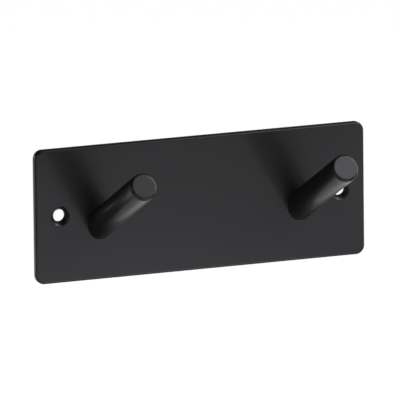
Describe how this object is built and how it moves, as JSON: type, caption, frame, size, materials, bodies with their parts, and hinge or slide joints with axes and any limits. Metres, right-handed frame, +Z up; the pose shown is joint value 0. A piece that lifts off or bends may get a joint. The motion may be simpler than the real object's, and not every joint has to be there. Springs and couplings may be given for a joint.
{
  "type": "double robe hook",
  "caption": "Rectangular wall plate with rounded corners and countersunk screw holes, carrying slanted round pegs that hold robes and towels by the loop.",
  "frame": {"origin": "centre of the plate's back face, the one that lies on the wall", "axes": "+Z up, +X to the right of someone facing the hook, -Y out of the wall towards the room"},
  "size_m": [0.125, 0.0459, 0.048],
  "materials": {
    "black_finish": "satin"
  },
  "bodies": {
    "root": {"back_plate": "black_finish", "left_peg": "black_finish", "right_peg": "black_finish"}
  },
  "joints": []
}
